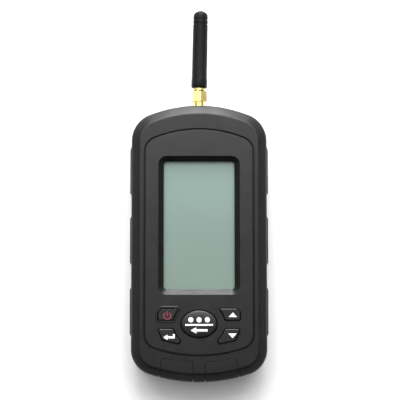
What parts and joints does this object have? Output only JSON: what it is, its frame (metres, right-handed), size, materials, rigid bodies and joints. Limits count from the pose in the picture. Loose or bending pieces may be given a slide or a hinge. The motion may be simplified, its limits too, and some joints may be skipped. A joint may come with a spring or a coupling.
{
  "type": "fish finder",
  "caption": "Handheld wireless fish finder: tall rounded black case with a grey display, five keys under it, rubber side grips and a screw-on stub antenna.",
  "frame": {"origin": "centre of the flat rear face, which the unit lies on", "axes": "+X right, +Y towards the antenna, +Z out of the display"},
  "size_m": [0.0766, 0.2083, 0.0292],
  "materials": {
    "housing": "fine moulded satin, black",
    "panel": "smooth satin, black",
    "rubber": "matte black rubber",
    "window": "clear acrylic",
    "lcd": "grey-green liquid crystal glass",
    "backlight": "milky light guide",
    "frame_plastic": "moulded white plastic",
    "key": "satin black with printed legends",
    "circuit": "green solder mask",
    "chip": "moulded epoxy",
    "tin": "tin plate",
    "steel": "zinc plated",
    "gold": "gold-plated brass",
    "ptfe": "white fluoropolymer",
    "cell": "printed sleeve",
    "seal": "grey silicone",
    "lead_jacket": "brown jacket"
  },
  "bodies": {
    "housing": {"front_housing": "housing", "rear_housing": "housing", "housing_seal": "seal", "face_panel": "panel", "window_gasket": "seal", "display_window": "window", "lcd_glass": "lcd", "backlight_panel": "backlight", "lcd_frame": "frame_plastic", "lcd_contact_strip": "seal", "main_board": "circuit", "processor_chip": "chip", "radio_shield": "tin", "crystal": "tin", "buzzer": "chip", "capacitors": "tin", "key_switches": "chip", "battery_contacts_lower": "tin", "battery_contacts_upper": "tin", "housing_screws": "steel", "board_screws": "steel", "antenna_jack": "gold", "jack_insulator": "ptfe", "jack_washer": "steel", "jack_nut": "gold", "coax_lead": "lead_jacket", "coax_plug": "gold", "battery_cell_1": "cell", "battery_cell_2": "cell", "battery_cell_3": "cell", "battery_cell_4": "cell", "left_top_grip": "rubber", "left_middle_grip": "rubber", "left_bottom_grip": "rubber", "left_bumper": "rubber", "right_top_grip": "rubber", "right_middle_grip": "rubber", "right_bottom_grip": "rubber", "right_bumper": "rubber"},
    "menu_key": {"menu_key": "key", "menu_plunger": "frame_plastic"},
    "power_key": {"power_key": "key", "power_plunger": "frame_plastic"},
    "up_key": {"up_key": "key", "up_plunger": "frame_plastic"},
    "enter_key": {"enter_key": "key", "enter_plunger": "frame_plastic"},
    "down_key": {"down_key": "key", "down_plunger": "frame_plastic"},
    "antenna": {"antenna_whip": "rubber", "antenna_ferrule": "gold", "antenna_insulator": "ptfe", "antenna_radiator": "gold"},
    "antenna_nut": {"antenna_nut": "gold"},
    "battery_cover": {"battery_cover": "housing"}
  },
  "joints": [
    {"name": "antenna_unscrew", "type": "slide", "parent": "housing", "child": "antenna", "axis": [0, 1, 0], "range_m": [0, 0.00564]},
    {"name": "nut_spin", "type": "hinge", "parent": "antenna", "child": "antenna_nut", "pos_m": [0, 0.08, 0.014], "axis": [0, 1, 0], "range_deg": [0, 2882]},
    {"name": "battery_cover_slide", "type": "slide", "parent": "housing", "child": "battery_cover", "axis": [0, -1, 0], "range_m": [0, 0.062]},
    {"name": "menu_press", "type": "slide", "parent": "housing", "child": "menu_key", "axis": [0, 0, -1], "range_m": [0, 0.0006], "stiffness_N_per_m": 900, "springref_m": -0.0012},
    {"name": "power_press", "type": "slide", "parent": "housing", "child": "power_key", "axis": [0, 0, -1], "range_m": [0, 0.0006], "stiffness_N_per_m": 900, "springref_m": -0.0012},
    {"name": "up_press", "type": "slide", "parent": "housing", "child": "up_key", "axis": [0, 0, -1], "range_m": [0, 0.0006], "stiffness_N_per_m": 900, "springref_m": -0.0012},
    {"name": "enter_press", "type": "slide", "parent": "housing", "child": "enter_key", "axis": [0, 0, -1], "range_m": [0, 0.0006], "stiffness_N_per_m": 900, "springref_m": -0.0012},
    {"name": "down_press", "type": "slide", "parent": "housing", "child": "down_key", "axis": [0, 0, -1], "range_m": [0, 0.0006], "stiffness_N_per_m": 900, "springref_m": -0.0012}
  ],
  "couplings": [
    {"joint": "nut_spin", "follows": "antenna_unscrew", "rad_per_m": 8904.7}
  ]
}
